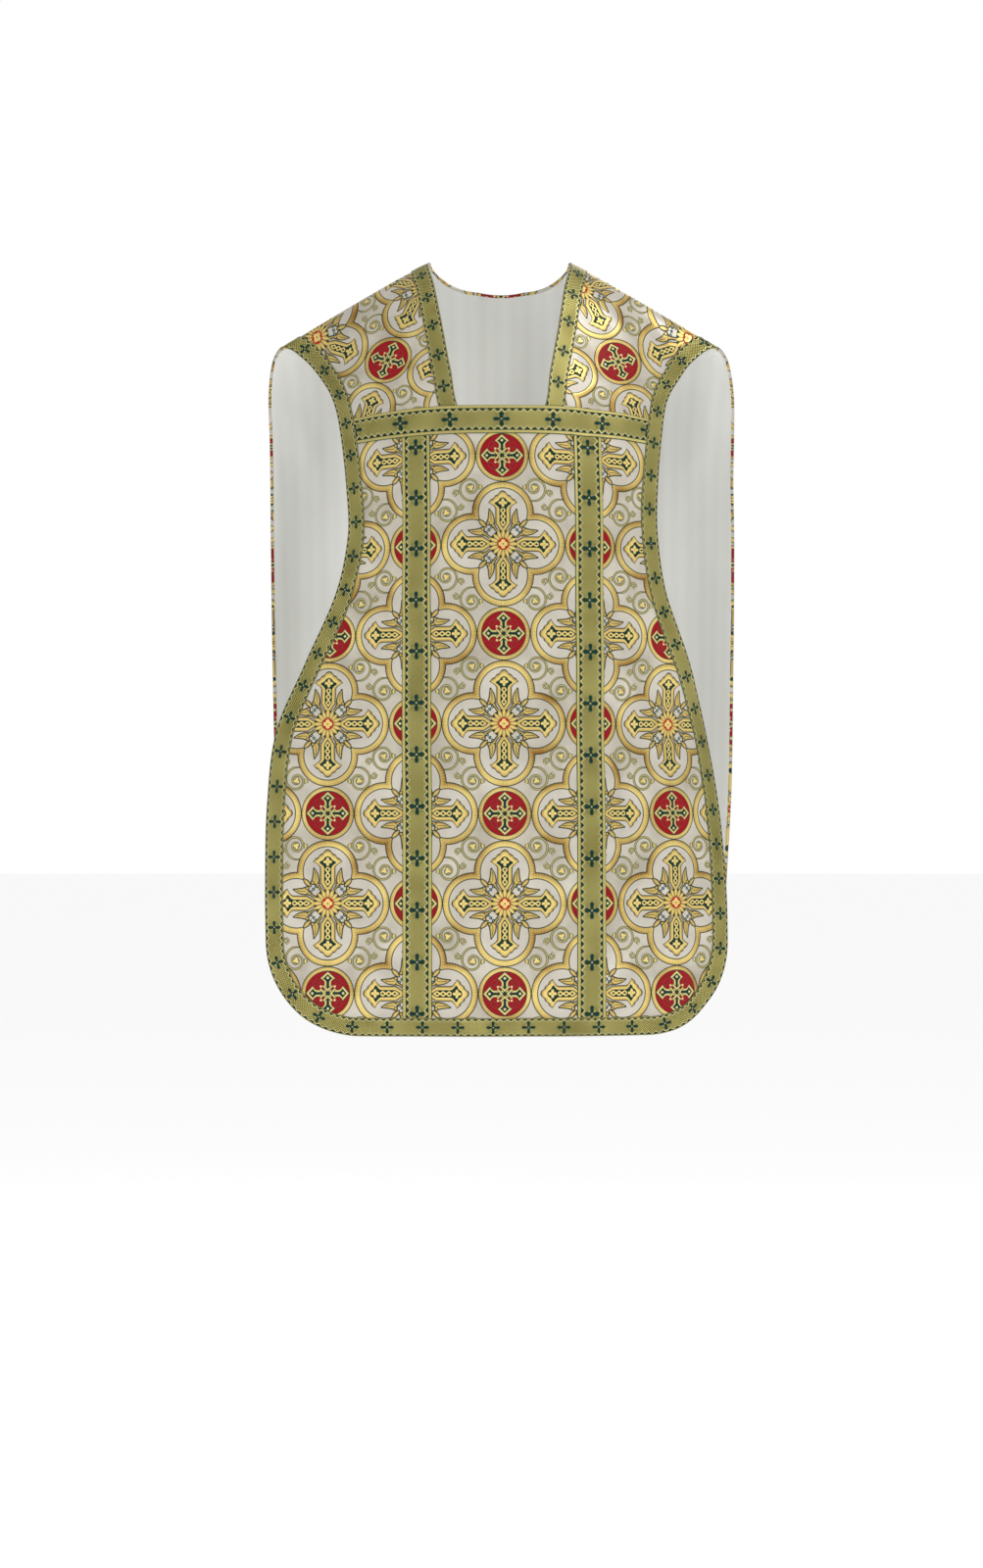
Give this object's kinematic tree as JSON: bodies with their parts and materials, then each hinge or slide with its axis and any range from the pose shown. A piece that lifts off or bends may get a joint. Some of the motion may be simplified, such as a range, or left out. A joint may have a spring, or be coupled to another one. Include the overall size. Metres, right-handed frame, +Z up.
{
  "type": "roman chasuble",
  "caption": "Lined brocade roman chasuble in its worn shape: stiff front and back joined over the shoulders, open at the sides and edged with woven gold braid.",
  "frame": {"origin": "middle of the neck opening, at the height where the shoulder line meets the neck, which is where the wearer's shoulders hold the garment up", "axes": "+Z up, the front faces -Y, +X is the wearer's left"},
  "size_m": [0.5767, 0.3087, 0.9407],
  "materials": {
    "brocade": "woven cream and gold brocade with a soft metallic thread shine",
    "lining_satin": "pale satin lining",
    "gold_braid": "woven olive-gold galloon braid with dark green figures"
  },
  "bodies": {
    "root": {"front_panel": "brocade", "yoke_left": "brocade", "yoke_right": "brocade", "back_panel": "brocade", "front_lining": "lining_satin", "yoke_lining_left": "lining_satin", "yoke_lining_right": "lining_satin", "back_lining": "lining_satin", "front_edge_braid": "gold_braid", "back_edge_braid": "gold_braid", "neck_braid": "gold_braid", "chest_band": "gold_braid", "front_column_left": "gold_braid", "front_column_right": "gold_braid", "back_column_left": "gold_braid", "back_column_right": "gold_braid"}
  },
  "joints": []
}
